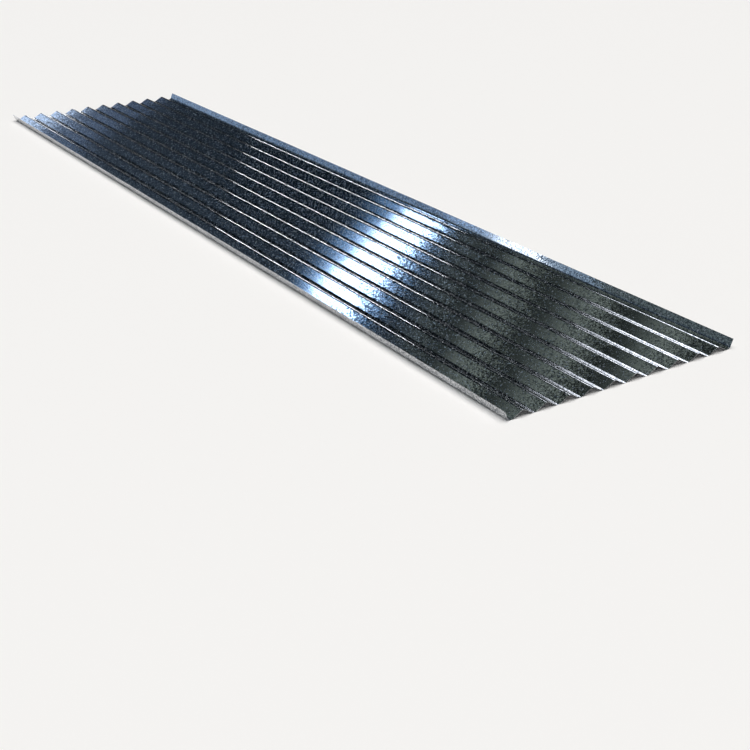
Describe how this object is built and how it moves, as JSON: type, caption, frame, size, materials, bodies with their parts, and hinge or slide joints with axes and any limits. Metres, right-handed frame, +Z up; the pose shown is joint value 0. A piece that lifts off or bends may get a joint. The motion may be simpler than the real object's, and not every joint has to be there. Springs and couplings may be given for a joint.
{
  "type": "corrugated metal sheet",
  "caption": "Long galvanised steel roofing sheet rolled into even parallel waves, cut square at the ends, with both long edges turned up; laid over purlins to shed rain.",
  "frame": {"origin": "under the middle of the sheet, on the level that the undersides of the valleys rest on", "axes": "+X across the waves, +Y along the waves and the sheet's length, +Z up, the way the long edges turn"},
  "size_m": [0.8004, 3.6, 0.0283],
  "materials": {
    "galvanised_steel": "hot-dip galvanised, bright spangle"
  },
  "bodies": {
    "root": {"corrugated_sheet": "galvanised_steel"}
  },
  "joints": []
}
